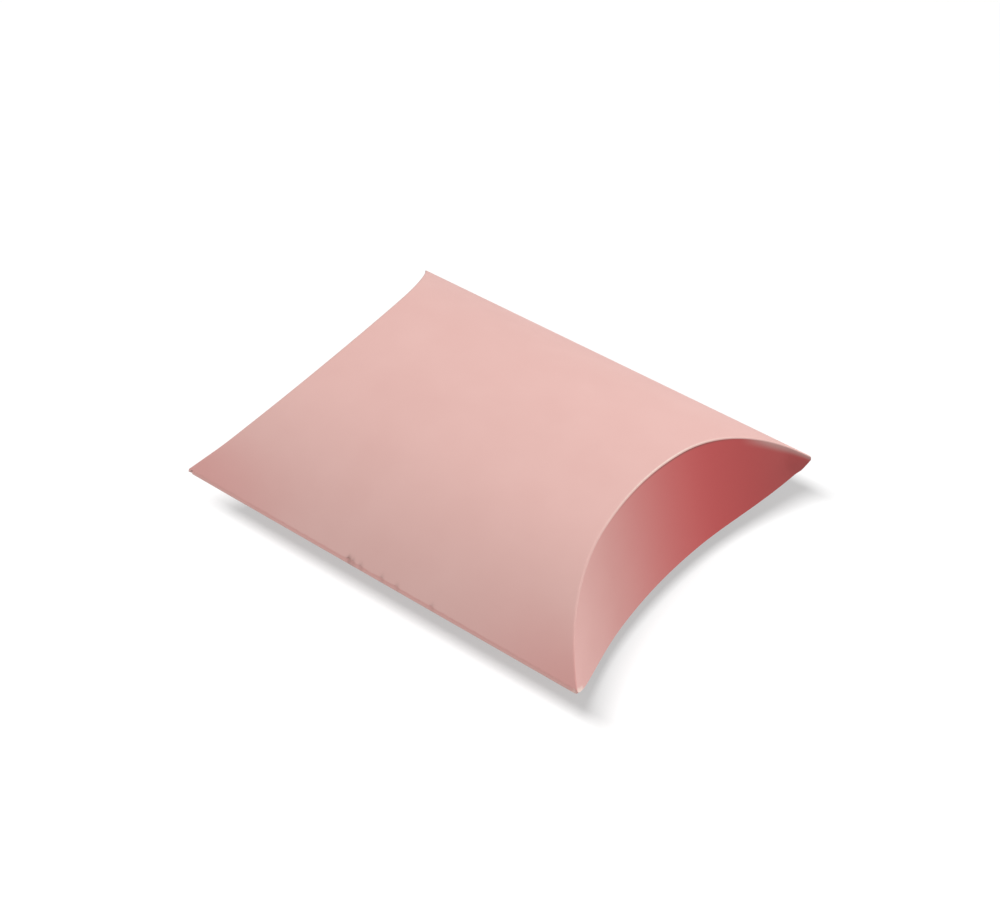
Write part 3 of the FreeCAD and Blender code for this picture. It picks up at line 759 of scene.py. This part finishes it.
class PILLOWBOX_OT_glued_seam(bpy.types.Operator):
    """Tab under the top panel's cut edge, and the glue that holds it"""

    bl_idname = "pillow_box.glued_seam"
    bl_label = "Glued seam"

    def execute(self, context):
        sizes = context.scene.pillow_box_sizes
        card = FoldedCard(sizes)
        base_y = -card.top.edge_half + sizes.tab_base_height / 2
        inner_y = base_y + sizes.tab_width * math.cos(math.atan(card.top.slope(base_y)))
        rows = []
        for y in spread(base_y, inner_y, FLAP_COLUMNS):
            place, facing = tab_face(card, y, tab_depth(sizes))
            end = card.crease(place.y) - sizes.tab_end_relief
            rows.append([card.spot((x, place.x, place.y), (0.0, facing.x, facing.y))
                         for x in spread(-end, end, PANEL_COLUMNS)])
        tab = card_sheet("glue_tab_card", rows, sizes.card_thickness,
                         ["last_row", "first_column", "last_column"], card_faces(context))
        carried(tab, "sleeve", "glue_tab")
        rows = []
        for y in spread(base_y + sizes.glue_margin, inner_y - sizes.glue_margin, FLAP_COLUMNS):
            place, facing = tab_face(card, y, sizes.card_thickness + sizes.bond_gap)
            end = card.crease(place.y) - sizes.tab_end_relief - sizes.glue_margin
            rows.append([card.spot((x, place.x, place.y), (0.0, facing.x, facing.y))
                         for x in spread(-end, end, PANEL_COLUMNS)])
        glue = dried_glue("dried_dispersion_glue", context.scene.pillow_box_colours)
        film = card_sheet("glue_film_layer", rows, sizes.glue_thickness,
                          ["first_row", "last_row", "first_column", "last_column"], [glue, glue, glue])
        carried(film, "sleeve", "glue_film")
        return {"FINISHED"}


def hang_flap(piece, end, layer):
    """Bakes a flap's placing into its mesh, and hides the node that it stands for."""
    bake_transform(piece)
    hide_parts(f"{end}_{layer}_flap")


class PILLOWBOX_OT_outer_flaps(bpy.types.Operator):
    """Concave outer flaps, hinged on the top panel's curved creases"""

    bl_idname = "pillow_box.outer_flaps"
    bl_label = "Outer flaps"

    def execute(self, context):
        sizes = context.scene.pillow_box_sizes
        card = FoldedCard(sizes)
        first = sizes.outer_tip_inset - card.half_width
        for end in ("front", "rear"):
            last = card.half_width - sizes.deep_tip_inset if end == "front" else -first
            rows = []
            for y in spread_to_ends(first, last, FLAP_ROWS):
                edge = card.free_edge(y, end == "front" and y > 0)
                # Painted shade, deeper across the flap
                tone = flap_painted_shade(card, y)
                rows.append(flap_row(card, card.top, y, sizes.outer_lean, edge, tone, False, end == "rear"))
            flap = card_sheet(f"{end}_outer_flap_card", rows, sizes.card_thickness,
                              ["first_row", "last_row", "last_column"], card_faces(context))
            hang_flap(flap, end, "outer")
        return {"FINISHED"}


class PILLOWBOX_OT_inner_flaps(bpy.types.Operator):
    """Inner flaps behind the outer ones, hinged on the bottom panel's creases"""

    bl_idname = "pillow_box.inner_flaps"
    bl_label = "Inner flaps"

    def execute(self, context):
        sizes = context.scene.pillow_box_sizes
        card = FoldedCard(sizes)
        for end in ("front", "rear"):
            rows = []
            for y in spread(-card.inner_edge.edge_half, card.inner_edge.edge_half, FLAP_ROWS):
                edge = -card.inner_edge.height(y)
                rows.append(flap_row(card, card.bottom, y, sizes.inner_lean, edge, 0.0, True, end == "rear"))
            flap = card_sheet(f"{end}_inner_flap_card", rows, sizes.card_thickness,
                              ["first_row", "last_row", "last_column"], card_faces(context))
            hang_flap(flap, end, "inner")
        return {"FINISHED"}


class PILLOWBOX_OT_stage(bpy.types.Operator):
    """Pale floor, soft studio light and the camera"""

    bl_idname = "pillow_box.stage"
    bl_label = "Stage"

    def execute(self, context):
        scene = context.scene
        scene.view_settings.view_transform = "Standard"
        self.add_floor(scene)
        self.add_world(scene)
        self.add_lamps(scene)
        self.add_camera(scene)
        return {"FINISHED"}

    def add_floor(self, scene):
        """A pale paper sweep, matt and even, that shows white and keeps the box's shadow."""
        bm = bmesh.new()
        bmesh.ops.create_grid(bm, x_segments=FLOOR_SQUARES, y_segments=FLOOR_SQUARES, size=FLOOR_SIDE / 2)
        mesh = bpy.data.meshes.new("floor")
        bm.to_mesh(mesh)
        bm.free()
        floor = bpy.data.objects.new("floor", mesh)
        floor.location.z = -FLOOR_DROP
        scene.collection.objects.link(floor)
        material, tree = new_material("pale_paper_sweep")
        path = add_node(tree, "ShaderNodeLightPath")
        seen = add_node(tree, "ShaderNodeMath", {"operation": "MAXIMUM"},
                        {0: path.outputs["Is Camera Ray"], 1: path.outputs["Is Glossy Ray"]})
        seen = add_node(tree, "ShaderNodeMath", {"operation": "MAXIMUM"},
                        {0: seen.outputs[0], 1: path.outputs["Is Transmission Ray"]})
        pale = add_node(tree, "ShaderNodeBsdfDiffuse", None, {"Color": rgba(linear(FLOOR_PALE))})
        glow = add_node(tree, "ShaderNodeEmission", None, {"Strength": FLOOR_GLOW})
        shown = add_node(tree, "ShaderNodeAddShader", None, {0: pale.outputs[0], 1: glow.outputs[0]})
        dim = add_node(tree, "ShaderNodeBsdfDiffuse", None, {"Color": rgba(linear(FLOOR_DIM))})
        mixed = add_node(tree, "ShaderNodeMixShader", None,
                         {0: seen.outputs[0], 1: dim.outputs[0], 2: shown.outputs[0]})
        add_node(tree, "ShaderNodeOutputMaterial", None, {"Surface": mixed.outputs[0]})
        mesh.materials.append(material)
        floor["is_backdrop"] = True

    def add_world(self, scene):
        """Even light from all round, white where the camera sees it."""
        world = bpy.data.worlds.new("studio")
        world.use_nodes = True
        tree = world.node_tree
        tree.nodes.clear()
        path = add_node(tree, "ShaderNodeLightPath")
        strength = add_node(tree, "ShaderNodeMapRange", None,
                            {"Value": path.outputs["Is Camera Ray"], "To Min": WORLD_FILL, "To Max": 1.0})
        white = add_node(tree, "ShaderNodeBackground", None,
                         {"Color": rgba(linear(WORLD_WHITE)), "Strength": strength.outputs[0]})
        add_node(tree, "ShaderNodeOutputWorld", None, {"Surface": white.outputs[0]})
        scene.world = world

    def add_lamps(self, scene):
        """Softboxes, each of which lights either the card or the floor."""
        groups = {}
        for name, members in (("card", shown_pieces()), ("floor", [scene.objects["floor"]])):
            groups[name] = bpy.data.collections.new(f"lit_{name}")
            for member in members:
                groups[name].objects.link(member)
        for name, (group, azimuth, elevation, distance, width, height, power) in LAMPS.items():
            azimuth, elevation = math.radians(azimuth), math.radians(elevation)
            towards = Vector((math.cos(azimuth) * math.cos(elevation),
                              math.sin(azimuth) * math.cos(elevation), math.sin(elevation)))
            lamp = bpy.data.lights.new(name, "AREA")
            lamp.shape = "RECTANGLE"
            lamp.size = width
            lamp.size_y = height
            lamp.energy = power
            holder = bpy.data.objects.new(name, lamp)
            holder.location = VIEW_AIM + towards * distance
            holder.rotation_euler = (-towards).to_track_quat("-Z", "Y").to_euler()
            scene.collection.objects.link(holder)
            holder.light_linking.receiver_collection = groups[group]

    def add_camera(self, scene):
        """The camera at the photograph's angle."""
        azimuth, elevation, roll = (math.radians(a) for a in (VIEW_AZIMUTH, VIEW_ELEVATION, VIEW_ROLL))
        back = Vector((math.sin(azimuth) * math.cos(elevation), -math.cos(azimuth) * math.cos(elevation),
                       math.sin(elevation)))
        right = Vector((math.cos(azimuth), math.sin(azimuth), 0.0))
        up = back.cross(right)
        turned_right = right * math.cos(roll) + up * math.sin(roll)
        turned_up = up * math.cos(roll) - right * math.sin(roll)
        lens = bpy.data.cameras.new("camera")
        lens.lens = LENS_MM
        lens.sensor_width = SENSOR_MM
        lens.clip_start = NEAREST_SEEN
        camera = bpy.data.objects.new("camera", lens)
        camera.matrix_world = Matrix((turned_right, turned_up, back)).transposed().to_4x4()
        camera.location = VIEW_AIM + back * VIEW_DISTANCE
        scene.collection.objects.link(camera)
        scene.camera = camera


class PILLOWBOX_PT_sidebar(bpy.types.Panel):
    """Lists the box's pieces, sizes and colours"""

    bl_idname = "PILLOWBOX_PT_sidebar"
    bl_label = "Pillow box"
    bl_space_type = "VIEW_3D"
    bl_region_type = "UI"
    bl_category = "Pillow box"

    def draw(self, context):
        for operator in OPERATORS:
            self.layout.operator(operator.bl_idname)
        for group in (context.scene.pillow_box_sizes, context.scene.pillow_box_colours):
            column = self.layout.column()
            for name in group.__annotations__:
                column.prop(group, name)


OPERATORS = [PILLOWBOX_OT_panels, PILLOWBOX_OT_folds, PILLOWBOX_OT_glued_seam, PILLOWBOX_OT_outer_flaps,
             PILLOWBOX_OT_inner_flaps, PILLOWBOX_OT_stage]
CLASSES = [PillowBoxSizes, PillowBoxColours, *OPERATORS, PILLOWBOX_PT_sidebar]


def register():
    """Adds the classes and the scene's settings."""
    for made in CLASSES:
        bpy.utils.register_class(made)
    bpy.types.Scene.pillow_box_sizes = PointerProperty(type=PillowBoxSizes)
    bpy.types.Scene.pillow_box_colours = PointerProperty(type=PillowBoxColours)


def unregister():
    """Takes the classes and settings away again."""
    del bpy.types.Scene.pillow_box_colours
    del bpy.types.Scene.pillow_box_sizes
    for made in reversed(CLASSES):
        bpy.utils.unregister_class(made)


def main():
    """Builds the box and its stage."""
    register()
    bpy.ops.pillow_box.panels()
    bpy.ops.pillow_box.folds()
    bpy.ops.pillow_box.glued_seam()
    bpy.ops.pillow_box.outer_flaps()
    bpy.ops.pillow_box.inner_flaps()
    bpy.ops.pillow_box.stage()


if __name__ == "__main__":
    main()
